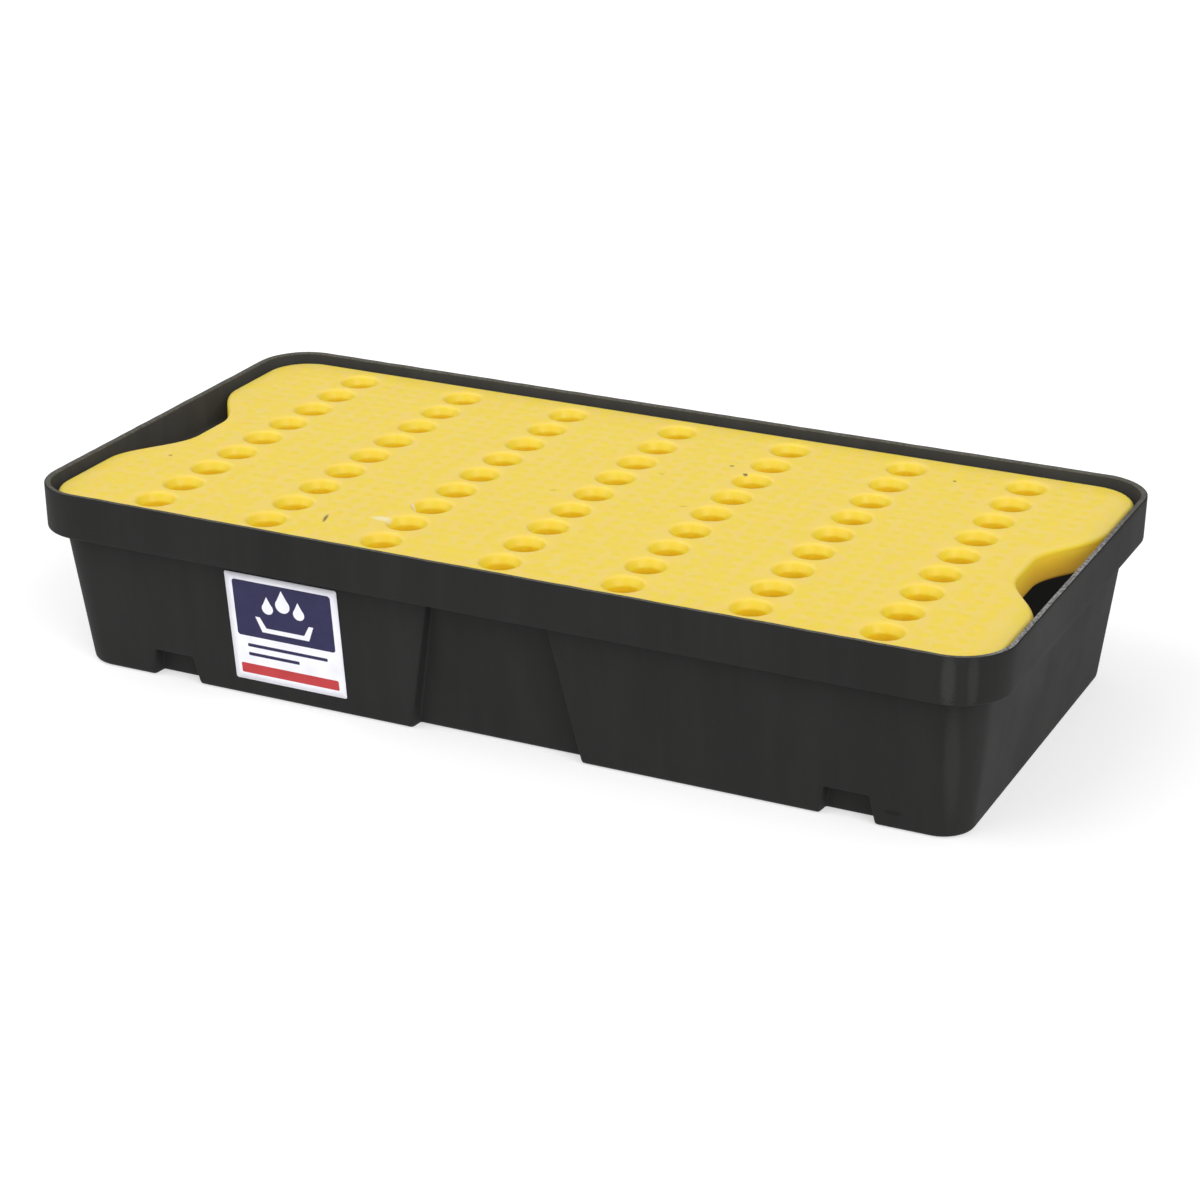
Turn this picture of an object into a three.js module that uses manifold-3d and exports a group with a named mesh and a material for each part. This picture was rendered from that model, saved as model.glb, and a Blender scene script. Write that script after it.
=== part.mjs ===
// Spill containment pallet: a moulded sump tray, the loose drain deck that rests on
// the ledge inside its rim, and the label on its front wall.
// Millimetres, +Z up. The origin is the centre of the footprint on the floor,
// +X runs along the length and -Y is the side with the label.

import * as THREE from 'three';
import { mergeVertices } from 'three/addons/utils/BufferGeometryUtils.js';
import Module from 'manifold-3d';

const wasm = await Module();
wasm.setup();

// Overall size and the walls.
const length = 805;
const width = 405;
const height = 155;
const trayWall = 5;
const deckWall = 3.5;
const gap = 0.3;
const cornerSteps = 7;

// Rim band around the top of the tray, and the body below it.
const rimBandHeight = 37;
const rimDraft = 0.8;
const rimCornerRadius = 44;
const bodyInsetTop = 14.8;
const bodyInsetFootX = 27.2;
const bodyInsetFootY = 29.6;
const bodyCornerTop = 30;
const bodyCornerFoot = 26;
const footChamfer = 3;
const ledgeThickness = 5;

// Recess in the middle of each long side, from the floor up to the rim band.
const recessHalfFoot = 73;
const recessHalfTop = 49;
const recessDepthFoot = 11.6;
const recessDepthTop = 8;

// Notches in the foot of each long side.
const notchCentre = 286;
const notchHalfFoot = 22;
const notchHalfTop = 17.5;
const notchHeight = 24;
const notchDepth = 11.6;

// Drain deck.
const deckLength = 786;
const deckWidth = 387;
const deckTop = 148;
const deckCornerRadius = 38;
const deckEdge = 4;
const bayDepth = 35.5;
const bayHalfFlat = 18;
const bayHalfMouth = 98;
const baySteps = 10;

// Drain holes: a dish at the top runs into a straight throat.
const holeColumns = 7;
const holeRows = 9;
const holePitchX = 101.5;
const holePitchY = 40.5;
const dishRadius = 19;
const throatRadius = 12.5;
const dishDepth = 8.5;
const holeSides = 10;
const postRadius = 19;
const postSides = 8;
const ventRadius = 1.5;
const hollowDraft = 1;

// Label on the front wall.
const labelLeft = -228;
const labelRight = -128;
const labelFoot = 15;
const labelTop = 110;
const labelThickness = 0.3;

// Plain look of each piece.
const trayLook = { color: 0x2e2e2d, roughness: 0.6 };
const deckLook = { color: 0xe9c85d, roughness: 0.55 };
const labelLook = { color: 0xf1f1ef, roughness: 0.4 };

// Heights that follow from the above.
const bandFoot = height - rimBandHeight;
const ledgeTop = bandFoot + ledgeThickness;
const deckFoot = ledgeTop + gap;

// How far a cutter reaches past the face it cuts, and the distance within which points are merged.
const over = 2;
const weld = 1e-4;

function toSolid(geometry) {
  const bare = geometry.clone();
  bare.deleteAttribute('normal');
  bare.deleteAttribute('uv');
  const merged = mergeVertices(bare, weld);
  return new wasm.Manifold(new wasm.Mesh({
    numProp: 3,
    vertProperties: new Float32Array(merged.attributes.position.array),
    triVerts: new Uint32Array(merged.index.array),
  }));
}

function toGeometry(solid) {
  const mesh = solid.getMesh();
  const geometry = new THREE.BufferGeometry();
  geometry.setAttribute('position', new THREE.BufferAttribute(mesh.vertProperties, 3));
  geometry.setIndex(new THREE.BufferAttribute(mesh.triVerts, 1));
  geometry.computeVertexNormals();
  return geometry;
}

// A closed solid through level outlines that all have the same number of points,
// each one counter-clockwise as seen from above.
function loft(levels) {
  const count = levels[0].outline.length;
  const positions = levels.flatMap(({ outline, z }) => outline.flatMap((p) => [p.x, p.y, z]));
  const index = [];
  for (let level = 0; level < levels.length - 1; level += 1) {
    for (let i = 0; i < count; i += 1) {
      const a = level * count + i;
      const b = level * count + ((i + 1) % count);
      index.push(a, b, b + count, a, b + count, a + count);
    }
  }
  const lastStart = (levels.length - 1) * count;
  for (const [a, b, c] of THREE.ShapeUtils.triangulateShape(levels[0].outline, [])) {
    index.push(a, c, b);
  }
  for (const [a, b, c] of THREE.ShapeUtils.triangulateShape(levels.at(-1).outline, [])) {
    index.push(lastStart + a, lastStart + b, lastStart + c);
  }
  const geometry = new THREE.BufferGeometry();
  geometry.setAttribute('position', new THREE.Float32BufferAttribute(positions, 3));
  geometry.setIndex(index);
  return toSolid(geometry);
}

function roundedOutline(halfX, halfY, radius) {
  const corners = [[1, -1, -90], [1, 1, 0], [-1, 1, 90], [-1, -1, 180]];
  return corners.flatMap(([sideX, sideY, start]) => {
    const arc = [];
    for (let i = 0; i <= cornerSteps; i += 1) {
      const angle = THREE.MathUtils.degToRad(start + (90 * i) / cornerSteps);
      arc.push(new THREE.Vector2(
        sideX * (halfX - radius) + radius * Math.cos(angle),
        sideY * (halfY - radius) + radius * Math.sin(angle),
      ));
    }
    return arc;
  });
}

// Insets of the tray's body below the rim's outer face, at a height above the floor.
function bodyInset(foot, z) {
  return THREE.MathUtils.lerp(foot, bodyInsetTop, z / bandFoot);
}

function bodyOutline(z, inset) {
  const radius = THREE.MathUtils.lerp(bodyCornerFoot, bodyCornerTop, z / bandFoot);
  return roundedOutline(
    length / 2 - bodyInset(bodyInsetFootX, z) - inset,
    width / 2 - bodyInset(bodyInsetFootY, z) - inset,
    radius - inset,
  );
}

function rimOutline(z, inset) {
  const draft = rimDraft * (height - z) / rimBandHeight;
  const set = draft + inset;
  return roundedOutline(length / 2 - set, width / 2 - set, rimCornerRadius - set);
}

// A tapered block against a long side, from beyond the wall in to the given depths
// behind the wall's own face. grow thickens it on every side but the outer one.
function sideBlock({ centre, halfFoot, halfTop, depthFoot, depthTop, top, grow, side }) {
  const atLevel = (z, half, depth) => {
    const outer = width / 2 + over;
    const inner = width / 2 - bodyInset(bodyInsetFootY, z) - depth - grow;
    const near = side < 0 ? -outer : inner;
    const far = side < 0 ? -inner : outer;
    return [
      new THREE.Vector2(centre - half - grow, near),
      new THREE.Vector2(centre + half + grow, near),
      new THREE.Vector2(centre + half + grow, far),
      new THREE.Vector2(centre - half - grow, far),
    ];
  };
  const foot = -over;
  const taper = (from, to, z) => from + ((to - from) * z) / top;
  return loft([foot, top + grow].map((z) => ({
    z,
    outline: atLevel(z, taper(halfFoot, halfTop, z), taper(depthFoot, depthTop, z)),
  })));
}

function sideBlocks(grow) {
  const blocks = [];
  for (const side of [-1, 1]) {
    blocks.push(sideBlock({
      centre: 0,
      halfFoot: recessHalfFoot,
      halfTop: recessHalfTop,
      depthFoot: recessDepthFoot,
      depthTop: recessDepthTop,
      top: bandFoot,
      grow,
      side,
    }));
    for (const end of [-1, 1]) {
      blocks.push(sideBlock({
        centre: end * notchCentre,
        halfFoot: notchHalfFoot,
        halfTop: notchHalfTop,
        depthFoot: notchDepth,
        depthTop: notchDepth,
        top: notchHeight,
        grow,
        side,
      }));
    }
  }
  return blocks.reduce((all, block) => all.add(block));
}

function makeTray() {
  const outside = loft([
    { z: 0, outline: bodyOutline(0, footChamfer) },
    { z: footChamfer, outline: bodyOutline(footChamfer, 0) },
    { z: bandFoot, outline: bodyOutline(bandFoot, 0) },
    { z: bandFoot, outline: rimOutline(bandFoot, 0) },
    { z: height, outline: rimOutline(height, 0) },
  ]);
  const sump = loft([
    { z: trayWall, outline: bodyOutline(trayWall, trayWall) },
    { z: ledgeTop + over, outline: bodyOutline(ledgeTop + over, trayWall) },
  ]);
  const rimInside = loft([
    { z: ledgeTop, outline: rimOutline(ledgeTop, trayWall) },
    { z: height + over, outline: rimOutline(height + over, trayWall) },
  ]);
  const hollow = sump.subtract(sideBlocks(trayWall)).add(rimInside);
  return toGeometry(outside.subtract(sideBlocks(0)).subtract(hollow));
}

// How far a hand bay cuts in from a short end, at a distance from its middle.
function bayCut(y) {
  const run = (Math.abs(y) - bayHalfFlat) / (bayHalfMouth - bayHalfFlat);
  const share = THREE.MathUtils.clamp(run, 0, 1);
  return bayDepth * 0.5 * (1 + Math.cos(Math.PI * share));
}

function deckOutline(inset) {
  const halfX = deckLength / 2 - inset;
  const rounded = roundedOutline(halfX, deckWidth / 2 - inset, deckCornerRadius - inset);
  const bayEnd = (side) => {
    const points = [];
    for (let i = -baySteps; i <= baySteps; i += 1) {
      const y = (side * bayHalfMouth * i) / baySteps;
      points.push(new THREE.Vector2(side * (halfX - bayCut(y)), y));
    }
    return points;
  };
  const perCorner = cornerSteps + 1;
  return [
    ...rounded.slice(0, perCorner),
    ...bayEnd(1),
    ...rounded.slice(perCorner, 3 * perCorner),
    ...bayEnd(-1),
    ...rounded.slice(3 * perCorner),
  ];
}

// One turned solid for every drain hole, set out on the deck's grid.
function onHoleGrid(profile, sides) {
  const points = profile.map(([radius, z]) => new THREE.Vector2(radius, z));
  const turned = new THREE.LatheGeometry(points, sides);
  turned.rotateX(Math.PI / 2);
  const one = toSolid(turned);
  const all = [];
  for (let column = 0; column < holeColumns; column += 1) {
    for (let row = 0; row < holeRows; row += 1) {
      const x = (column - (holeColumns - 1) / 2) * holePitchX;
      const y = (row - (holeRows - 1) / 2) * holePitchY;
      all.push(one.translate([x, y, 0]));
    }
  }
  return wasm.Manifold.union(all);
}

function makeDeck() {
  const slab = loft([
    { z: deckFoot, outline: deckOutline(0) },
    { z: deckTop - deckEdge, outline: deckOutline(0) },
    { z: deckTop, outline: deckOutline(deckEdge) },
  ]);
  const holes = onHoleGrid([
    [0, deckFoot - over],
    [throatRadius, deckFoot - over],
    [throatRadius, deckTop - dishDepth],
    [dishRadius, deckTop],
    [dishRadius, deckTop + over],
    [0, deckTop + over],
  ], holeSides);
  const hollowTop = deckTop - deckWall;
  const posts = onHoleGrid([
    [0, deckFoot],
    [postRadius, deckFoot],
    [postRadius, deckTop],
    [0, deckTop],
  ], postSides);
  const hollow = loft([
    { z: deckFoot + deckWall, outline: deckOutline(deckWall) },
    { z: hollowTop, outline: deckOutline(deckWall + hollowDraft) },
  ]).subtract(posts);
  const vent = new THREE.CylinderGeometry(ventRadius, ventRadius, 2 * (deckWall + over), postSides);
  vent.rotateX(Math.PI / 2);
  vent.translate(holePitchX / 2, 0, deckFoot);
  return toGeometry(slab.subtract(holes).subtract(hollow).subtract(toSolid(vent)));
}

// A thin plate that stands parallel to the sloping front wall.
function makeLabel() {
  const wallY = (z) => -(width / 2 - bodyInset(bodyInsetFootY, z));
  const atLevel = (z) => {
    const back = wallY(z) - gap;
    return {
      z,
      outline: [
        new THREE.Vector2(labelLeft, back - labelThickness),
        new THREE.Vector2(labelRight, back - labelThickness),
        new THREE.Vector2(labelRight, back),
        new THREE.Vector2(labelLeft, back),
      ],
    };
  };
  return toGeometry(loft([atLevel(labelFoot), atLevel(labelTop)]));
}

function part(name, geometry, look) {
  const material = new THREE.MeshStandardMaterial({ ...look, metalness: 0 });
  const mesh = new THREE.Mesh(geometry, material);
  mesh.name = name;
  return mesh;
}

const pallet = new THREE.Group();
pallet.add(
  part('sump_tray', makeTray(), trayLook),
  part('drain_deck', makeDeck(), deckLook),
  part('label', makeLabel(), labelLook),
);

export default pallet;
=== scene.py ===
import math

import bpy
from mathutils import Matrix, Vector, noise
from mathutils.geometry import delaunay_2d_cdt


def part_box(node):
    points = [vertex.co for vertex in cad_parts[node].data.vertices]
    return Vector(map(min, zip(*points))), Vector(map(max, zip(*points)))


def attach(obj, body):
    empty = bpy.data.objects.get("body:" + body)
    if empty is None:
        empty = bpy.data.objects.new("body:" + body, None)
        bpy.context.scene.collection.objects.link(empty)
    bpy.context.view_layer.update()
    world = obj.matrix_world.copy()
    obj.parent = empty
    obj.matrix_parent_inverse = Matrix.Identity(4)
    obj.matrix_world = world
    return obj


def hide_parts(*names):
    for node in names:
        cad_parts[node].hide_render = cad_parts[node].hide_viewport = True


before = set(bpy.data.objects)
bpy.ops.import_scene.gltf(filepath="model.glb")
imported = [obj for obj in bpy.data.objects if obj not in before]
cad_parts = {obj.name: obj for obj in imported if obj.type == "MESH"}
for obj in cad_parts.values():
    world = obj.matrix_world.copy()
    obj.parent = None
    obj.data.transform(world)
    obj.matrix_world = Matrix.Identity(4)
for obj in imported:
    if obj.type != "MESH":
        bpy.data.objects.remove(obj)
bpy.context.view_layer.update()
mm = 0.001  # everything below is in millimetres until a mesh is made


def cadSize(node):
    low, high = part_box(node)
    return (high.x - low.x) / mm, (high.y - low.y) / mm, low.z / mm, high.z / mm


print("frame loaded")

# camera: a long lens, slightly rolled, above the label side and towards the right end
viewpoint = {
    "azimuth": 25.38,
    "elevation": 22.44,
    "roll": 0.22,
    "distance": 2.40603,
    "target": (0.01878, -0.02718, 0.070),
    "lens": 91.218,
    "sensor": 36.0,
}


def makeCamera():
    turn = math.radians(viewpoint["azimuth"])
    lift = math.radians(viewpoint["elevation"])
    roll = math.radians(viewpoint["roll"])
    back = Vector((math.sin(turn) * math.cos(lift), -math.cos(turn) * math.cos(lift), math.sin(lift)))
    level = (-back).cross(Vector((0, 0, 1))).normalized()
    upright = level.cross(-back)
    right = math.cos(roll) * level + math.sin(roll) * upright
    up = -math.sin(roll) * level + math.cos(roll) * upright
    lens = bpy.data.cameras.new("camera")
    lens.lens = viewpoint["lens"]
    lens.sensor_width = viewpoint["sensor"]
    camera = bpy.data.objects.new("camera", lens)
    place = Matrix((right, up, back)).transposed().to_4x4()
    place.translation = Vector(viewpoint["target"]) + back * viewpoint["distance"]
    camera.matrix_world = place
    bpy.context.scene.collection.objects.link(camera)
    bpy.context.scene.camera = camera


makeCamera()
print("camera placed")


# materials

def addNode(tree, kind, values=None, **settings):
    made = tree.nodes.new(kind)
    for name, value in settings.items():
        setattr(made, name, value)
    for socket, value in (values or {}).items():
        made.inputs[socket].default_value = value
    return made


def newFinish(name, roughness, specular):
    finish = bpy.data.materials.new(name)
    finish.use_nodes = True
    shader = finish.node_tree.nodes["Principled BSDF"]
    shader.inputs["Roughness"].default_value = roughness
    shader.inputs["Specular IOR Level"].default_value = specular
    return finish, finish.node_tree, shader


def speckle(tree, scale, detail=3.0, roughness=0.5, stretch=(1, 1, 1)):
    # noise over the piece's own coordinates, scale in features per metre
    place = addNode(tree, "ShaderNodeTexCoord")
    mapping = addNode(tree, "ShaderNodeMapping", {"Scale": stretch})
    tree.links.new(place.outputs["Object"], mapping.inputs["Vector"])
    grain = addNode(tree, "ShaderNodeTexNoise", {"Scale": scale, "Detail": detail, "Roughness": roughness})
    tree.links.new(mapping.outputs["Vector"], grain.inputs["Vector"])
    return grain.outputs["Fac"]


def rampOf(tree, source, stops):
    ramp = addNode(tree, "ShaderNodeValToRGB")
    elements = ramp.color_ramp.elements
    while len(elements) < len(stops):
        elements.new(0.5)
    for element, (position, color) in zip(elements, stops):
        element.position = position
        element.color = (*color, 1)
    tree.links.new(source, ramp.inputs["Fac"])
    return ramp.outputs["Color"]


def blendOf(tree, share, first, second):
    mix = addNode(tree, "ShaderNodeMix", data_type="RGBA")
    for socket, value in ((0, share), (6, first), (7, second)):
        if isinstance(value, bpy.types.NodeSocket):
            tree.links.new(value, mix.inputs[socket])
        elif socket == 0:
            mix.inputs[socket].default_value = value
        else:
            mix.inputs[socket].default_value = (*value, 1)
    return mix.outputs[2]


def spanOf(tree, source, low, high, toLow=0.0, toHigh=1.0):
    span = addNode(tree, "ShaderNodeMapRange", {
        "From Min": low, "From Max": high, "To Min": toLow, "To Max": toHigh,
    })
    tree.links.new(source, span.inputs["Value"])
    return span.outputs["Result"]


def addBump(tree, shader, layers):
    # layers of (height source, strength, depth in metres), each laid over the last
    normal = None
    for source, strength, depth in layers:
        bump = addNode(tree, "ShaderNodeBump", {"Strength": strength, "Distance": depth})
        tree.links.new(source, bump.inputs["Height"])
        if normal:
            tree.links.new(normal, bump.inputs["Normal"])
        normal = bump.outputs["Normal"]
    tree.links.new(normal, shader.inputs["Normal"])


def spotOf(tree, grit, strength, place, angle, size):
    # a ragged mask, strongest in the middle of an ellipsoid; place and size are in millimetres
    spot = addNode(tree, "ShaderNodeTexCoord")
    local = addNode(tree, "ShaderNodeMapping", {
        "Location": [part * mm for part in place],
        "Rotation": (0, 0, math.radians(angle)),
        "Scale": [part * mm / 2 for part in size],
    }, vector_type="TEXTURE")
    tree.links.new(spot.outputs["Object"], local.inputs["Vector"])
    reach = addNode(tree, "ShaderNodeVectorMath", operation="LENGTH")
    tree.links.new(local.outputs["Vector"], reach.inputs[0])
    ragged = addNode(tree, "ShaderNodeMath", {1: 1.2}, operation="MULTIPLY_ADD")
    tree.links.new(grit, ragged.inputs[0])
    tree.links.new(reach.outputs["Value"], ragged.inputs[2])
    return spanOf(tree, ragged.outputs[0], 1.1, 1.6, strength, 0)


def alongOf(tree, axis, low, high, mirrored=False):
    # 0 where the piece's own coordinate is low and 1 where it is high, in millimetres
    place = addNode(tree, "ShaderNodeTexCoord")
    parts = addNode(tree, "ShaderNodeSeparateXYZ")
    tree.links.new(place.outputs["Object"], parts.inputs[0])
    source = parts.outputs[axis]
    if mirrored:
        size = addNode(tree, "ShaderNodeMath", operation="ABSOLUTE")
        tree.links.new(source, size.inputs[0])
        source = size.outputs[0]
    return spanOf(tree, source, low * mm, high * mm)


blackPlastic = {
    "dark": (0.0150, 0.0148, 0.0145),
    "light": (0.0184, 0.0180, 0.0176),
    "roughness": (0.64, 0.76),
    "specular": 0.15,
    # inside the tray, painted light: how much lighter the black is painted, and a painted glow standing in
    # for the light that seeps through the deck
    "insidePaintedLightGain": 2.4,
    "insidePaintedGlow": (0.0070, 0.0074, 0.0070),
    # scale, detail and roughness of the clouds, the upright streaks, the ripples and the fine grain
    "clouds": (9, 4, 0.55),
    "streaks": (45, 3, 0.6, (1, 1, 0.07)),
    "ripples": (22, 3, 0.5),
    "grain": (1100, 2, 0.6),
    # the colour of the painted highlights on the rounded near corner
    "paintedSheen": (0.036, 0.036, 0.035),
    # strength, middle, angle and size of each painted highlight: a lighter streak on the rounded near corner
    # standing in for the lamps' reflection
    "paintedSheenMarks": [
        (0.75, (367.5, -201.8, 137.0), 10, (13.0, 10.0, 60.0)),
        (0.50, (383.5, -195.0, 137.0), 35, (10.0, 10.0, 55.0)),
        (0.40, (366.0, -180.0, 62.0), 10, (14.0, 40.0, 130.0)),
    ],
    "nick": (0.004, 0.004, 0.004),
    # strength, middle, angle and size of each nick
    "nickMarks": [
        (0.5, (322.0, -174.0, 14.0), 0, (18.0, 10.0, 4.5)),
    ],
}


def setGlow(shader, color, strength=1):
    shader.inputs["Emission Color"].default_value = (*color, 1)
    shader.inputs["Emission Strength"].default_value = strength


def makeBlackFinish(name, gain, glow=(0, 0, 0)):
    # a gain above 1 and a glow give a lighter, glowing copy of the black: painted light
    finish, tree, shader = newFinish(name, 0.7, blackPlastic["specular"])
    setGlow(shader, glow)
    clouds, streaks, ripples, grain = (
        speckle(tree, *blackPlastic[key]) for key in ("clouds", "streaks", "ripples", "grain")
    )
    dark, light = ([part * gain for part in blackPlastic[key]] for key in ("dark", "light"))
    tone = rampOf(tree, streaks, [(0.35, dark), (0.68, light)])
    # painted highlight streaks on the rounded corner first, then real nicks
    for color in ("paintedSheen", "nick"):
        for mark in blackPlastic[color + "Marks"]:
            tone = blendOf(tree, spotOf(tree, grain, *mark), tone, blackPlastic[color])
    tree.links.new(tone, shader.inputs["Base Color"])
    low, high = blackPlastic["roughness"]
    tree.links.new(spanOf(tree, clouds, 0.3, 0.7, low, high), shader.inputs["Roughness"])
    addBump(tree, shader, [(ripples, 0.25, 0.001), (grain, 0.3, 0.0003)])
    return finish


# the rim's cut top: dull and even along the sides, paler and rougher across the right end
cutEdge = {
    "roughness": 0.8,
    "specular": 0.15,
    "scrape": (330, 4, 0.65),
    "scrapeDepth": 0.0006,
    "sideDark": (0.060, 0.057, 0.049),
    "sideLight": (0.14, 0.134, 0.116),
    "endDark": (0.090, 0.088, 0.085),
    "endLight": (0.34, 0.335, 0.325),
    # where the pale end starts along the length, and where it fades across the width
    "endStart": (384, 399),
    "endFade": (40, 130),
}


def makeCutEdgeFinish():
    finish, tree, shader = newFinish("cutRimEdge", cutEdge["roughness"], cutEdge["specular"])
    scrape = speckle(tree, *cutEdge["scrape"])
    side = rampOf(tree, scrape, [(0.3, cutEdge["sideDark"]), (0.7, cutEdge["sideLight"])])
    end = rampOf(tree, scrape, [(0.38, cutEdge["endDark"]), (0.62, cutEdge["endLight"])])
    end = blendOf(tree, alongOf(tree, "Y", *cutEdge["endFade"]), end, side)
    tone = blendOf(tree, alongOf(tree, "X", *cutEdge["endStart"]), side, end)
    tree.links.new(tone, shader.inputs["Base Color"])
    addBump(tree, shader, [(scrape, 0.7, cutEdge["scrapeDepth"])])
    return finish


yellowPlastic = {
    # tone at each share of the height, from the underside to the top: the yellow with painted light, a paler
    # top standing in for the sky's sheen and a deeper, darker amber down the dishes and throats standing in
    # for light glowing through the plastic
    "heightTonesWithPaintedLight": [
        (0.00, (0.66, 0.33, 0.010)),
        (0.30, (0.86, 0.52, 0.012)),
        (0.63, (0.93, 0.63, 0.014)),
        (0.75, (0.85, 0.65, 0.026)),
        (0.92, (0.84, 0.65, 0.038)),
        (0.98, (0.89, 0.66, 0.132)),
    ],
    # the same for the walls at both ends, painted lighter and more orange: painted light standing in for
    # light that soaks through from above
    "endTonesWithPaintedLight": [
        (0.00, (0.90, 0.46, 0.012)),
        (0.30, (0.95, 0.54, 0.012)),
        (0.70, (0.98, 0.66, 0.018)),
        (0.93, (0.98, 0.72, 0.040)),
        (0.98, (0.89, 0.66, 0.132)),
    ],
    "endStart": (344, 352),
    # a painted glow on the thin walls of the hand bays, standing in for light that comes through them, and
    # how far they reach from the middle
    "bayGlow": (0.15, 0.090, 0.018),
    "bayReach": (104, 96),
    # deeper yellow on the pips and in faint blotches around them
    "deep": (0.89, 0.67, 0.050),
    "blotches": (95, 2, 0.5, (1, 0.5, 1)),
    "blotchShare": 0.8,
    "pipHeight": 0.12,
    "roughness": (0.42, 0.52),
    "specular": 0.5,
    # light that soaks into the plastic: share, reach in metres, and how far each color goes
    "soak": 0.5,
    "soakReach": 0.011,
    "soakColors": (1.0, 0.5, 0.08),
    # scale, detail and roughness of the clouds and the fine grain
    "clouds": (60, 3, 0.5),
    "grain": (1000, 2, 0.5),
    "dirt": (0.10, 0.075, 0.04),
    "chalk": (0.90, 0.85, 0.66),
    # strength, middle, angle and size of each mark on the top
    "dirtMarks": [
        (0.85, (-162.6, -141.0, 148.0), 107, (19.0, 3.6, 4.0)),
        (0.95, (91.2, 93.2, 148.0), 20, (6.0, 5.0, 4.0)),
        (0.80, (73.6, 106.0, 148.0), 0, (4.6, 4.0, 4.0)),
        (0.70, (248.0, 151.2, 148.0), 0, (4.2, 4.0, 4.0)),
        (0.60, (-349.0, -72.0, 148.0), 0, (4.6, 4.4, 4.0)),
        (0.22, (76.0, 4.0, 148.0), 30, (9.0, 4.0, 4.0)),
        (0.22, (30.0, 64.0, 148.0), -20, (8.0, 4.0, 4.0)),
        (0.20, (-32.0, -8.0, 148.0), 0, (7.0, 5.0, 4.0)),
    ],
    "chalkMarks": [
        (0.60, (-122.0, -122.5, 147.0), 4, (27.0, 11.0, 8.0)),
        (0.80, (-112.0, -87.0, 146.0), -35, (24.0, 5.0, 10.0)),
        (0.45, (-106.0, -93.5, 144.0), 10, (16.0, 5.0, 10.0)),
        (0.50, (-103.0, 71.0, 142.0), 0, (16.0, 6.0, 14.0)),
        (0.50, (-98.0, 31.0, 142.0), 0, (16.0, 6.0, 14.0)),
        (0.40, (-101.0, -169.0, 144.0), 0, (16.0, 6.0, 12.0)),
        (0.85, (101.0, 149.5, 144.0), 8, (9.0, 3.0, 8.0)),
    ],
}


def makeYellowTone(tree, height, nearEnd, grain):
    _, _, _, top = cadSize("drain_deck")
    deep = yellowPlastic["deep"]
    # both ramps carry painted light by height, and the end walls get a lighter, more orange copy
    middle, ends = (rampOf(tree, height, yellowPlastic[key]) for key in ("heightTonesWithPaintedLight", "endTonesWithPaintedLight"))
    tone = blendOf(tree, nearEnd, middle, ends)
    raised = yellowPlastic["pipHeight"]
    onPip = alongOf(tree, "Z", top + 0.15 * raised, top + 0.6 * raised)
    tone = blendOf(tree, onPip, tone, deep)
    blotches = speckle(tree, *yellowPlastic["blotches"])
    blotch = spanOf(tree, blotches, 0.42, 0.62, 0, yellowPlastic["blotchShare"])
    onTop = alongOf(tree, "Z", top - 0.4, top - 0.1)
    tone = blendOf(tree, blendOf(tree, onTop, (0, 0, 0), blotch), tone, deep)
    for color in ("dirt", "chalk"):
        for mark in yellowPlastic[color + "Marks"]:
            tone = blendOf(tree, spotOf(tree, grain, *mark), tone, yellowPlastic[color])
    return tone


def makeBayGlow(tree, height, nearEnd):
    # a painted glow, only on the walls of the hand bays, and fading out towards the top and the underside
    none, glow = (0, 0, 0), yellowPlastic["bayGlow"]
    level = rampOf(tree, height, [(0.0, none), (0.12, glow), (0.75, glow), (0.95, none)])
    inBay = alongOf(tree, "Y", *yellowPlastic["bayReach"], mirrored=True)
    return blendOf(tree, inBay, none, blendOf(tree, nearEnd, none, level))


def makeYellowFinish():
    _, _, foot, top = cadSize("drain_deck")
    finish, tree, shader = newFinish("yellowPolyethylene", 0.5, yellowPlastic["specular"])
    shader.inputs["Subsurface Weight"].default_value = yellowPlastic["soak"]
    shader.inputs["Subsurface Scale"].default_value = yellowPlastic["soakReach"]
    shader.inputs["Subsurface Radius"].default_value = yellowPlastic["soakColors"]
    shader.inputs["Emission Strength"].default_value = 1
    clouds, grain = (speckle(tree, *yellowPlastic[key]) for key in ("clouds", "grain"))
    height = alongOf(tree, "Z", foot, top)
    nearEnd = alongOf(tree, "X", *yellowPlastic["endStart"], mirrored=True)
    tree.links.new(makeYellowTone(tree, height, nearEnd, grain), shader.inputs["Base Color"])
    tree.links.new(makeBayGlow(tree, height, nearEnd), shader.inputs["Emission Color"])
    low, high = yellowPlastic["roughness"]
    tree.links.new(spanOf(tree, clouds, 0.3, 0.7, low, high), shader.inputs["Roughness"])
    addBump(tree, shader, [(clouds, 0.15, 0.0006), (grain, 0.35, 0.00035)])
    return finish


labelInks = {
    "white": (0.80, 0.80, 0.86),
    "navy": (0.016, 0.014, 0.065),
    "red": (0.46, 0.036, 0.040),
}
inkRoughness = 0.38
inkSpecular = 0.25


def makeInkFinish(name, color):
    # a little lighter in faint clouds
    finish, tree, shader = newFinish(name, inkRoughness, inkSpecular)
    cloud = speckle(tree, 60, 3, 0.5)
    faded = tuple(min(1, part * 1.12 + 0.004) for part in color)
    tree.links.new(rampOf(tree, cloud, [(0.3, color), (0.7, faded)]), shader.inputs["Base Color"])
    addBump(tree, shader, [(cloud, 0.2, 0.0003)])
    return finish


blackFinish = makeBlackFinish("blackPolyethylene", 1)
# a lighter, glowing copy of the black for the tray's inside: painted light standing in for light that gets in
# past the deck
insidePaintedLightFinish = makeBlackFinish("blackInsidePaintedLight", blackPlastic["insidePaintedLightGain"], blackPlastic["insidePaintedGlow"])
cutEdgeFinish = makeCutEdgeFinish()
yellowFinish = makeYellowFinish()
labelFinishes = [makeInkFinish(f"label{name.title()}", color) for name, color in labelInks.items()]
print("materials made")


# mesh making

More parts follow.
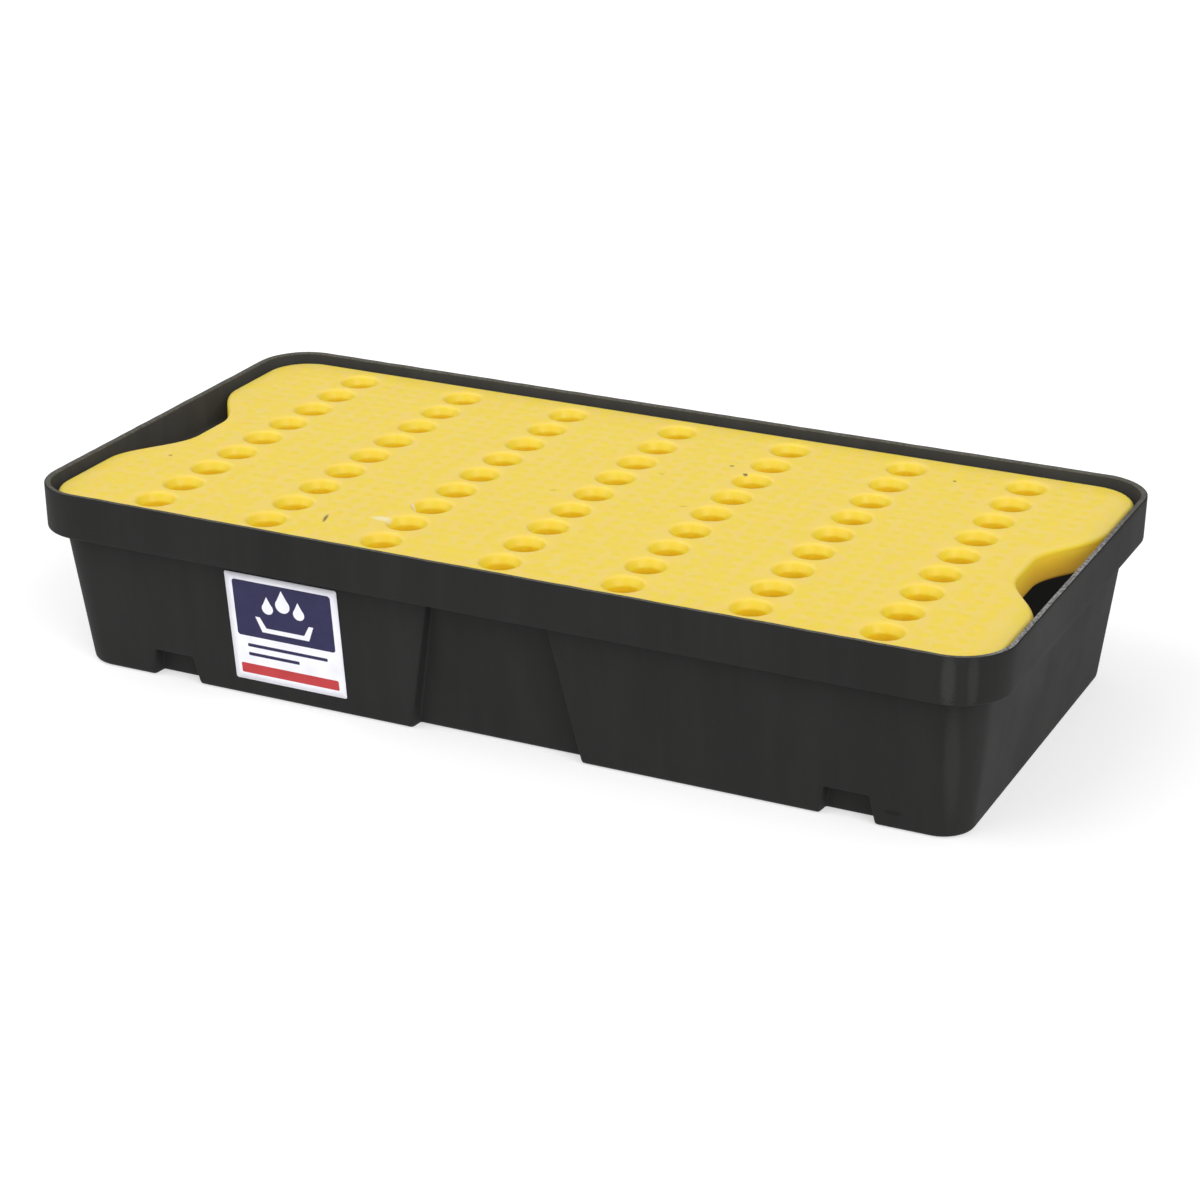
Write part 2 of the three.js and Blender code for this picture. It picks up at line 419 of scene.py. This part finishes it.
class Skin:
    def __init__(self):
        self.points = []
        self.faces = []
        self.finishes = []

    def add(self, points):
        first = len(self.points)
        self.points += [Vector(point) for point in points]
        return list(range(first, len(self.points)))

    def face(self, corners, finish=0):
        self.faces.append(corners)
        self.finishes.append(finish)

    def bridge(self, lower, upper, finish=0):
        # quads between two closed rings that run the same way round
        count = len(lower)
        for i in range(count):
            j = (i + 1) % count
            self.face((lower[i], lower[j], upper[j], upper[i]), finish)

    def loft(self, rings, finish=0):
        for lower, upper in zip(rings, rings[1:]):
            self.bridge(lower, upper, finish)

    def fill(self, outline, holes, up, spacing, inside, finish=0):
        # a level face with holes, on a grid of inner points that the test inside() lets in
        level = self.points[outline[0]].z
        owners = list(outline)
        loopOf = {}
        edges = []
        for number, loop in enumerate([outline] + holes):
            start = 0 if number == 0 else len(owners)
            if number:
                owners += loop
                loopOf.update((point, number) for point in loop)
            edges += [(start + k, start + (k + 1) % len(loop)) for k in range(len(loop))]
        flat = [self.points[i] for i in outline]
        lowX, highX = min(p.x for p in flat), max(p.x for p in flat)
        lowY, highY = min(p.y for p in flat), max(p.y for p in flat)
        columns = int((highX - lowX) / spacing)
        rows = int((highY - lowY) / spacing)
        for column in range(1, columns):
            for row in range(1, rows):
                x = lowX + (highX - lowX) * column / columns
                y = lowY + (highY - lowY) * row / rows
                if inside(x, y):
                    owners += self.add([(x, y, level)])
        spots = [self.points[i].to_2d() for i in owners]
        border = [list(range(len(outline)))]
        _, _, triangles, origins, _, _ = delaunay_2d_cdt(spots, edges, border, 1, 1e-5)
        for triangle in triangles:
            corners = [owners[origins[k][0]] for k in triangle]
            loops = {loopOf.get(corner, 0) for corner in corners}
            if len(loops) == 1 and 0 not in loops:
                continue
            a, b, c = (self.points[corner] for corner in corners)
            turn = (b.x - a.x) * (c.y - a.y) - (b.y - a.y) * (c.x - a.x)
            self.face(corners if (turn > 0) == up else corners[::-1], finish)

    def piece(self, name, finishes):
        mesh = bpy.data.meshes.new(name)
        mesh.from_pydata([point * mm for point in self.points], [], self.faces)
        for finish in finishes:
            mesh.materials.append(finish)
        mesh.polygons.foreach_set("material_index", self.finishes)
        mesh.polygons.foreach_set("use_smooth", [True] * len(self.faces))
        mesh.update()
        made = bpy.data.objects.new(name, mesh)
        bpy.context.scene.collection.objects.link(made)
        return made


def quarter(steps):
    # sine and one-minus-cosine of a quarter turn, for fillets
    angles = [math.pi / 2 * i / steps for i in range(steps + 1)]
    return [(math.sin(a), 1 - math.cos(a)) for a in angles]


def spread(low, high, count):
    return [low + (high - low) * i / count for i in range(count + 1)]


def lerp(low, high, share):
    return low + (high - low) * share


def cornerArc(middleX, middleY, radius, start, steps):
    angles = [math.radians(start + 90 * i / steps) for i in range(1, steps)]
    return [(middleX + radius * math.cos(a), middleY + radius * math.sin(a)) for a in angles]


# sump tray: one ring profile from the foot, up the wall, over the rim and down to the sump floor
tray = {
    "rimBand": 37.0,
    "rimDraft": 0.8,
    "rimCorner": 44.0,
    "wall": 5.0,
    "ledge": 5.0,
    "bodyInsetTop": 14.8,
    "bodyInsetFootX": 27.2,
    "bodyInsetFootY": 29.6,
    "cornerTop": 30.0,
    "cornerFoot": 26.0,
    "footRound": 4.0,
    "sumpRound": 8.0,
    "bandRound": 1.6,
    "ledgeRound": 2.0,
    "rimRound": 1.0,
    "recessHalfFoot": 73.0,
    "recessHalfTop": 49.0,
    "recessDepthFoot": 11.6,
    "recessDepthTop": 8.0,
    "notchCentre": 286.0,
    "notchHalfFoot": 22.0,
    "notchHalfTop": 17.5,
    "notchHeight": 24.0,
    "notchDepth": 11.6,
    "flankRound": 1.8,
    "flankDraft": 0.8,
    "rimWave": 0.25,
    "rimWaveLength": 17.0,
    # how finely each stretch is divided
    "cornerSteps": 14,
    "endSteps": 64,
    "sideSteps": (10, 38, 38, 10),
    "notchSteps": 8,
    "recessSteps": 26,
    "floorGrid": 20.0,
    "floorMargin": 30.0,
}

trayLength, trayWidth, _, trayTop = cadSize("sump_tray")
bandFoot = trayTop - tray["rimBand"]
ledgeTop = bandFoot + tray["ledge"]
trayFillet = quarter(4)


def flank(depth):
    # going in over the edge of a recess: how far along, and how deep, for a depth
    radius = min(tray["flankRound"], depth / 2)
    entering = [(-radius + radius * s, radius * c) for s, c in trayFillet]
    leaving = [(tray["flankDraft"] + radius * c, depth - radius + radius * s) for s, c in trayFillet]
    return entering + leaving


def sideStations(halfRun, z, grow, notchShare, recessShare):
    # along a long side from its left end: place and depth, with the notches and the recess cut in
    level = min(max(z, 0), bandFoot)
    up = level / bandFoot
    notchHalf = lerp(tray["notchHalfFoot"], tray["notchHalfTop"], min(level / tray["notchHeight"], 1)) + grow
    recessHalf = lerp(tray["recessHalfFoot"], tray["recessHalfTop"], up) + grow
    recessDepth = lerp(tray["recessDepthFoot"], tray["recessDepthTop"], up)
    features = [
        (-tray["notchCentre"], notchHalf, tray["notchDepth"], notchShare, tray["notchSteps"]),
        (0, recessHalf, recessDepth, recessShare, tray["recessSteps"]),
        (tray["notchCentre"], notchHalf, tray["notchDepth"], notchShare, tray["notchSteps"]),
    ]
    row = []
    start = -halfRun
    for (middle, half, depth, share, steps), before in zip(features, tray["sideSteps"]):
        edge = flank(depth)
        entry = [(middle - half + along, deep * share) for along, deep in edge]
        leave = [(middle + half - along, deep * share) for along, deep in reversed(edge)]
        row += [(x, 0) for x in spread(start, entry[0][0], before)[:-1]] + entry
        row += [(x, depth * share) for x in spread(entry[-1][0], leave[0][0], steps)[1:-1]] + leave[:-1]
        start = leave[-1][0]
    return row + [(x, 0) for x in spread(start, halfRun, tray["sideSteps"][-1])]


def trayRing(halfX, halfY, radius, z, grow=0.0, notchShare=0.0, recessShare=0.0, wave=0.0):
    side = sideStations(halfX - radius, z, grow, notchShare, recessShare)
    ends = spread(-(halfY - radius), halfY - radius, tray["endSteps"])
    midX, midY, steps = halfX - radius, halfY - radius, tray["cornerSteps"]
    outline = [(x, -halfY + cut) for x, cut in side]
    outline += cornerArc(midX, -midY, radius, -90, steps)
    outline += [(halfX, y) for y in ends]
    outline += cornerArc(midX, midY, radius, 0, steps)
    outline += [(x, halfY - cut) for x, cut in reversed(side)]
    outline += cornerArc(-midX, midY, radius, 90, steps)
    outline += [(-halfX, -y) for y in ends]
    outline += cornerArc(-midX, -midY, radius, 180, steps)
    longWave = tray["rimWaveLength"]
    return [(x, y, z + wave * noise.noise(Vector((x, y, z)) / longWave)) for x, y in outline]


def bodyRing(z, inset, grow=0.0, notchShare=0.0, recessShare=1.0):
    up = max(z, 0) / bandFoot
    setX = lerp(tray["bodyInsetFootX"], tray["bodyInsetTop"], up) + grow + inset
    setY = lerp(tray["bodyInsetFootY"], tray["bodyInsetTop"], up) + grow + inset
    radius = lerp(tray["cornerFoot"], tray["cornerTop"], up) - grow - inset
    return trayRing(trayLength / 2 - setX, trayWidth / 2 - setY, radius, z, grow, notchShare, recessShare)


def rimRing(z, inset, grow=0.0, wave=0.0):
    back = inset + tray["rimDraft"] * (trayTop - z) / tray["rimBand"]
    return trayRing(trayLength / 2 - back, trayWidth / 2 - back, tray["rimCorner"] - back, z, grow, wave=wave)


def wallRows(low, high, grow):
    # heights and notch shares of a wall between its fillets; the notch's ceiling needs rows of its own
    ceiling = tray["notchHeight"] + grow
    depth = tray["notchDepth"]
    shelf = [(ceiling - along, deep / depth) for along, deep in reversed(flank(depth))]
    lower = [(z, 1.0) for z in spread(low, shelf[0][0], 3)[:-1]]
    upper = [(z, 0.0) for z in spread(shelf[-1][0], high, 14)[1:]]
    return lower + shelf + upper


def outsideRings():
    foot, band, ledge, rim = (tray[key] for key in ("footRound", "bandRound", "ledgeRound", "rimRound"))
    rings = [bodyRing(foot * c, foot * (1 - s), notchShare=1.0) for s, c in trayFillet]
    rows = wallRows(foot, bandFoot - ledge, 0.0)[1:]
    rings += [bodyRing(z, 0, notchShare=share) for z, share in rows]
    rings += [bodyRing(bandFoot - ledge + ledge * s, -ledge * c) for s, c in trayFillet[1:]]
    rings += [rimRing(bandFoot + band * c, band * (1 - s)) for s, c in trayFillet]
    return rings + [rimRing(z, 0) for z in spread(bandFoot + band, trayTop - rim, 9)[1:]]


def rimRings():
    # the rim's rounded outer edge, its cut top and its rounded inner edge
    rim, wall, wave = tray["rimRound"], tray["wall"], tray["rimWave"]
    shoulder = [rimRing(trayTop - rim + rim * s, rim * c, wave=wave) for s, c in trayFillet[1:]]
    cutTop = [rimRing(trayTop, inset, wall / 2, wave) for inset in spread(rim, wall - rim, 3)[1:]]
    lip = [rimRing(trayTop - rim * c, wall - rim * (1 - s), wall, wave) for s, c in trayFillet[1:]]
    return shoulder, cutTop, lip


def insideRings():
    wall, rim, ledge, floor = (tray[key] for key in ("wall", "rimRound", "ledgeRound", "sumpRound"))
    rings = [rimRing(z, wall, wall) for z in spread(trayTop - rim, ledgeTop + ledge, 8)[1:]]
    rings += [rimRing(ledgeTop + ledge * (1 - s), wall + ledge * c, wall) for s, c in trayFillet[1:]]
    rings += [bodyRing(ledgeTop - ledge * c, -ledge * (1 - s), wall) for s, c in trayFillet]
    rows = wallRows(wall + floor, ledgeTop - ledge, wall)[::-1][1:]
    rings += [bodyRing(z, 0, wall, share) for z, share in rows]
    return rings + [bodyRing(wall + floor * (1 - s), floor * c, wall, 1.0) for s, c in trayFillet[1:]]


def makeTray():
    skin = Skin()
    outer = [skin.add(points) for points in outsideRings()]
    skin.loft(outer)
    shoulder, cutTop, lip = rimRings()
    last = outer[-1]
    for rings, finish in ((shoulder, 0), (cutTop, 1), (lip, 1)):
        added = [skin.add(points) for points in rings]
        skin.loft([last] + added, finish)
        last = added[-1]
    # the inside walls and floor take finish 2, the black with painted light
    inner = [skin.add(points) for points in insideRings()]
    skin.loft([last] + inner, 2)

    # the floor, seen from below and from above
    reachX = trayLength / 2 - tray["bodyInsetFootX"] - tray["floorMargin"]
    reachY = trayWidth / 2 - tray["bodyInsetFootY"] - tray["floorMargin"]

    def onFloor(x, y):
        return abs(x) < reachX and abs(y) < reachY

    skin.fill(outer[0], [], False, tray["floorGrid"], onFloor)
    skin.fill(inner[-1], [], True, tray["floorGrid"], onFloor, 2)
    made = skin.piece("sumpTray", [blackFinish, cutEdgeFinish, insidePaintedLightFinish])
    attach(made, "tray")
    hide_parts("sump_tray")


makeTray()
print("sump tray made")


# drain deck: a slab with dished drain holes, rows of anti-slip pips and a hand bay at each end
deck = {
    "corner": 38.0,
    "topRound": 4.0,
    "footRound": 2.5,
    "bayDepth": 35.5,
    "bayHalfFlat": 18.0,
    "bayHalfMouth": 98.0,
    "holeColumns": 7,
    "holeRows": 9,
    "pitchX": 101.5,
    "pitchY": 40.5,
    "dishRadius": 18.8,
    "dishSlope": 60,
    "dishRound": 4.0,
    "throatRadius": 12.5,
    "throatFoot": 12.0,
    "holeFootRound": 3.0,
    "pipPitchX": 14.5,
    "pipPitchY": 14.84,
    "pipRadius": 4.6,
    # share of the radius and of the height at each ring of a pip
    "pipRings": [(1, 0), (0.84, 0.55), (0.5, 0.92)],
    # how far a pip's middle stays from a hole column and from the deck's edge
    "pipHoleGap": 28.0,
    "pipEdgeGap": 16.1,
    # how finely each stretch is divided
    "sideSteps": 110,
    "endSteps": 8,
    "baySteps": 72,
    "cornerSteps": 16,
    "holeSides": 40,
    "pipSides": 10,
    "topGrid": 8.0,
    "footGrid": 14.0,
    # how far those grids stay from the ends and sides, from the dishes and pips, and from the throats
    "topMargins": (8.0, 7.0),
    "footMargins": (8.0, 6.0),
    "topGap": 2.0,
    "footGap": 3.0,
}

deckLength, deckWidth, deckFoot, deckTop = cadSize("drain_deck")
deckHalfX, deckHalfY = deckLength / 2, deckWidth / 2


def bayCut(y):
    # how far a hand bay cuts in from the end, at a distance from its middle
    run = (abs(y) - deck["bayHalfFlat"]) / (deck["bayHalfMouth"] - deck["bayHalfFlat"])
    return deck["bayDepth"] * 0.5 * (1 + math.cos(math.pi * min(max(run, 0), 1)))


def deckEnd(side):
    mouth = deck["bayHalfMouth"]
    straight = spread(-(deckHalfY - deck["corner"]), -mouth, deck["endSteps"])[:-1]
    ys = straight + spread(-mouth, mouth, deck["baySteps"]) + [-y for y in reversed(straight)]
    return [(side * (deckHalfX - bayCut(y)), side * y) for y in ys]


def deckOutline():
    corner, steps = deck["corner"], deck["cornerSteps"]
    midX, midY = deckHalfX - corner, deckHalfY - corner
    side = spread(-midX, midX, deck["sideSteps"])
    outline = [(x, -deckHalfY) for x in side]
    outline += cornerArc(midX, -midY, corner, -90, steps) + deckEnd(1)
    outline += cornerArc(midX, midY, corner, 0, steps)
    outline += [(-x, deckHalfY) for x in side]
    outline += cornerArc(-midX, midY, corner, 90, steps) + deckEnd(-1)
    return outline + cornerArc(-midX, -midY, corner, 180, steps)


def insetRing(outline, inset, z):
    # the outline moved in by an inset, square to itself
    moved = []
    for i, (x, y) in enumerate(outline):
        before = Vector(outline[i - 1])
        after = Vector(outline[(i + 1) % len(outline)])
        along = (after - before).normalized()
        moved.append((x - along.y * inset, y + along.x * inset, z))
    return moved


def holeProfile():
    # over a soft lip, down a straight slope, over a second rounding, and down the throat to the underside
    lipRound, footRound, throatFoot = deck["dishRound"], deck["holeFootRound"], deck["throatFoot"]
    slope = math.radians(deck["dishSlope"])
    profile = []
    for turn in spread(0, slope, 5):
        across = lipRound * math.sin(turn)
        down = lipRound * (1 - math.cos(turn))
        profile.append((deck["dishRadius"] - across, deckTop - down))
    run = profile[-1][0] - lipRound * (1 - math.sin(slope)) - deck["throatRadius"]
    startX, startZ = profile[-1][0] - run, profile[-1][1] - run * math.tan(slope)
    profile.append((startX + run / 2, startZ + run / 2 * math.tan(slope)))
    for turn in spread(slope, math.pi / 2, 3):
        across = lipRound * (math.sin(turn) - math.sin(slope))
        down = lipRound * (math.cos(slope) - math.cos(turn))
        profile.append((startX - across, startZ - down))
    throatX, throatZ = profile[-1]
    for share in spread(0, 1, 3)[1:]:
        profile.append((lerp(throatX, throatFoot, share), lerp(throatZ, deckFoot + footRound, share)))
    return profile + [(throatFoot + footRound * c, deckFoot + footRound * (1 - s)) for s, c in quarter(4)[1:]]


def holeSpots():
    columns, rows = deck["holeColumns"], deck["holeRows"]
    xs = [(column - (columns - 1) / 2) * deck["pitchX"] for column in range(columns)]
    ys = [(row - (rows - 1) / 2) * deck["pitchY"] for row in range(rows)]
    return [(x, y) for x in xs for y in ys]


def pipSpots(holes):
    # a grid of their own, clear of the hole columns and of the edges
    columns = int(deckHalfX / deck["pipPitchX"])
    rows = int(deckHalfY / deck["pipPitchY"])
    spots = []
    for column in range(-columns, columns + 1):
        x = column * deck["pipPitchX"]
        if min(abs(x - holeX) for holeX, _ in holes) < deck["pipHoleGap"]:
            continue
        for row in range(-rows, rows):
            y = (row + 0.5) * deck["pipPitchY"]
            if min(deckHalfX - abs(x) - bayCut(y), deckHalfY - abs(y)) >= deck["pipEdgeGap"]:
                spots.append((x, y))
    return spots


def addCircle(skin, x, y, radius, z, sides):
    turns = [math.tau * i / sides for i in range(sides)]
    return skin.add([(x + radius * math.cos(a), y + radius * math.sin(a), z) for a in turns])


def addPip(skin, x, y):
    tall, sides = yellowPlastic["pipHeight"], deck["pipSides"]
    rings = []
    for reach, rise in deck["pipRings"]:
        rings.append(addCircle(skin, x, y, reach * deck["pipRadius"], deckTop + rise * tall, sides))
    skin.loft(rings)
    tip = skin.add([(x, y, deckTop + tall)])[0]
    last = rings[-1]
    for i, point in enumerate(last):
        skin.face((point, last[(i + 1) % sides], tip))
    return rings[0]


def clearOf(x, y, places, radius):
    return all((x - cx) ** 2 + (y - cy) ** 2 > radius ** 2 for cx, cy in places)


def onDeck(x, y, marginX, marginY):
    # within the outline by the margins, and not in a corner
    inBounds = abs(x) < deckHalfX - bayCut(y) - marginX and abs(y) < deckHalfY - marginY
    nearCorner = abs(x) > deckHalfX - deck["corner"] and abs(y) > deckHalfY - deck["corner"]
    return inBounds and not nearCorner


def makeDeck():
    skin = Skin()
    outline = deckOutline()
    topRound, footRound = deck["topRound"], deck["footRound"]
    fillet = quarter(6)
    rings = [insetRing(outline, footRound * (1 - s), deckFoot + footRound * c) for s, c in fillet]
    rings += [insetRing(outline, 0, z) for z in spread(deckFoot + footRound, deckTop - topRound, 5)[1:]]
    rings += [insetRing(outline, topRound * c, deckTop - topRound + topRound * s) for s, c in fillet[1:]]
    side = [skin.add(points) for points in rings]
    skin.loft(side)

    holes = holeSpots()
    pips = pipSpots(holes)
    profile = holeProfile()
    tops, feet = [], []
    for x, y in holes:
        hole = [addCircle(skin, x, y, radius, z, deck["holeSides"]) for radius, z in profile]
        skin.loft(hole)
        tops.append(hole[0])
        feet.append(hole[-1])
    tops += [addPip(skin, x, y) for x, y in pips]

    dishReach = deck["dishRadius"] + deck["topGap"]
    pipReach = deck["pipRadius"] + deck["topGap"]
    throatReach = deck["throatFoot"] + deck["holeFootRound"] + deck["footGap"]

    def onTop(x, y):
        onFlat = onDeck(x, y, *deck["topMargins"])
        return onFlat and clearOf(x, y, holes, dishReach) and clearOf(x, y, pips, pipReach)

    def onUnderside(x, y):
        return onDeck(x, y, *deck["footMargins"]) and clearOf(x, y, holes, throatReach)

    skin.fill(side[-1], tops, True, deck["topGrid"], onTop)
    skin.fill(side[0], feet, False, deck["footGrid"], onUnderside)
    made = skin.piece("drainDeck", [yellowFinish])
    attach(made, "deck")
    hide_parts("drain_deck")


makeDeck()
print("drain deck made")


# label: one thin sheet whose front is divided into inked areas, measured from its lower left corner
label = {
    "corner": 2.0,
    "thickness": 0.2,
    # gap behind the CAD plate, and behind this sheet
    "cadGap": 0.3,
    "standOff": 0.05,
    "margin": 6.0,
    "panelFoot": 40.0,
    "panelTop": 90.0,
    "panelCorner": 3.0,
    "drops": [(36.0, 68.0, 5.0), (50.0, 73.0, 6.4), (64.0, 68.0, 5.0)],
    "dropTip": 2.1,
    "traySpan": (24.0, 76.0),
    "trayFoot": 46.0,
    "trayTop": 59.0,
    "trayLine": 4.0,
    "trayLean": 5.0,
    "bars": [(14.0, 86.0, 30.5), (14.0, 60.0, 22.5)],
    "barHeight": 3.0,
    "barCorner": 1.0,
    "stripFoot": 6.0,
    "stripTop": 15.0,
    "stripCorner": 1.5,
}


def roundedBox(left, right, foot, top, radius, steps=6):
    points = cornerArc(right - radius, foot + radius, radius, -90, steps)
    points += cornerArc(right - radius, top - radius, radius, 0, steps)
    points += cornerArc(left + radius, top - radius, radius, 90, steps)
    return points + cornerArc(left + radius, foot + radius, radius, 180, steps)


def dropShape(x, y, radius):
    # a round body, open a quarter turn at the top, that runs up to a point
    turns = [math.radians(-225 + 270 * i / 20) for i in range(21)]
    body = [(x + radius * math.cos(a), y + radius * math.sin(a)) for a in turns]
    return body + [(x, y + radius * label["dropTip"])]


def trayShape():
    left, right = label["traySpan"]
    foot, top, line, lean = (label[key] for key in ("trayFoot", "trayTop", "trayLine", "trayLean"))
    outside = [(left, top), (left + lean, foot), (right - lean, foot), (right, top)]
    inside = [(right - line, top), (right - lean - line, foot + line), (left + lean + line, foot + line)]
    return outside + inside + [(left + line, top)]


def labelAreas(wide):
    # later areas lie over earlier ones: (outline, ink), where 0 is white, 1 navy and 2 red
    left, right = label["margin"], wide - label["margin"]
    areas = [
        (roundedBox(left, right, label["panelFoot"], label["panelTop"], label["panelCorner"]), 1),
        (trayShape(), 0),
        (roundedBox(left, right, label["stripFoot"], label["stripTop"], label["stripCorner"]), 2),
    ]
    areas += [(dropShape(*drop), 0) for drop in label["drops"]]
    for start, end, foot in label["bars"]:
        areas.append((roundedBox(start, end, foot, foot + label["barHeight"], label["barCorner"]), 1))
    return areas


def within(x, y, shape):
    inside = False
    for (ax, ay), (bx, by) in zip(shape, shape[1:] + shape[:1]):
        if (ay > y) != (by > y) and x < ax + (bx - ax) * (y - ay) / (by - ay):
            inside = not inside
    return inside


def makeLabel():
    low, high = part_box("label")
    wide = (high.x - low.x) / mm
    slope = math.atan2((high.y - low.y) / mm, (high.z - low.z) / mm)
    tall = (high.z - low.z) / mm / math.cos(slope)
    outline = roundedBox(0, wide, 0, tall, label["corner"])
    areas = labelAreas(wide)
    spots, edges = [], []
    for shape in [outline] + [area for area, _ in areas]:
        start = len(spots)
        spots += [Vector(point) for point in shape]
        edges += [(start + k, start + (k + 1) % len(shape)) for k in range(len(shape))]
    border = [list(range(len(outline)))]
    verts, _, triangles, origins, _, _ = delaunay_2d_cdt(spots, edges, border, 1, 1e-5)
    rim = [next(k for k, origin in enumerate(origins) if i in origin) for i in range(len(outline))]

    # from the label's own flat coordinates to its place on the sloping wall
    wallFoot = Vector((low.x / mm, high.y / mm, low.z / mm))
    up = Vector((0, -math.sin(slope), math.cos(slope)))
    out = Vector((0, -math.cos(slope), -math.sin(slope)))

    def place(spot, off):
        return wallFoot + Vector((spot[0], 0, 0)) + up * spot[1] + out * (off - label["cadGap"])

    skin = Skin()
    back = skin.add([place(spot, label["standOff"]) for spot in verts])
    front = skin.add([place(spot, label["standOff"] + label["thickness"]) for spot in verts])
    for triangle in triangles:
        a, b, c = (verts[k] for k in triangle)
        x, y = (a.x + b.x + c.x) / 3, (a.y + b.y + c.y) / 3
        ink = 0
        for shape, color in areas:
            ink = color if within(x, y, shape) else ink
        ordered = triangle if (b - a).cross(c - a) > 0 else triangle[::-1]
        skin.face([front[k] for k in ordered], ink)
        skin.face([back[k] for k in ordered[::-1]])
    skin.bridge([back[k] for k in rim], [front[k] for k in rim])
    made = skin.piece("wallLabel", labelFinishes)
    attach(made, "tray")
    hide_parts("label")


makeLabel()
print("label made")


# stage and light: broad soft lamps with no edge to their reflections, over a near-white floor
studio = {
    "floorRadius": 14.0,
    "floorSides": 64,
    "floorDrop": 0.2,
    "floor": (0.60, 0.60, 0.60),
    "floorGlow": 0.52,
    "sky": (1.0, 1.0, 1.0),
    "skyStrength": 0.55,
    "main": {"from": (0.75, -0.55, 0.60), "spread": 40, "strength": 1.35},
    "fill": {"from": (-0.60, -0.45, 0.70), "spread": 60, "strength": 1.15},
}


def makeLamp(name, settings):
    lamp = bpy.data.lights.new(name, "SUN")
    lamp.angle = math.radians(settings["spread"])
    lamp.energy = settings["strength"]
    holder = bpy.data.objects.new(name, lamp)
    holder.rotation_euler = Vector(settings["from"]).to_track_quat("Z", "Y").to_euler()
    bpy.context.scene.collection.objects.link(holder)


def makeFloor():
    finish, _, shader = newFinish("paleFloor", 0.9, 0.1)
    shader.inputs["Base Color"].default_value = (*studio["floor"], 1)
    setGlow(shader, (1, 1, 1), studio["floorGlow"])
    skin = Skin()
    skin.face(addCircle(skin, 0, 0, studio["floorRadius"] / mm, -studio["floorDrop"], studio["floorSides"]))
    skin.piece("floor", [finish])


def makeSky():
    world = bpy.data.worlds.new("studio")
    world.use_nodes = True
    sky = world.node_tree.nodes["Background"]
    sky.inputs["Color"].default_value = (*studio["sky"], 1)
    sky.inputs["Strength"].default_value = studio["skyStrength"]
    bpy.context.scene.world = world


makeFloor()
makeSky()
for name in ("main", "fill"):
    makeLamp(name + "Light", studio[name])
bpy.context.scene.view_settings.view_transform = "Standard"
print("studio made")
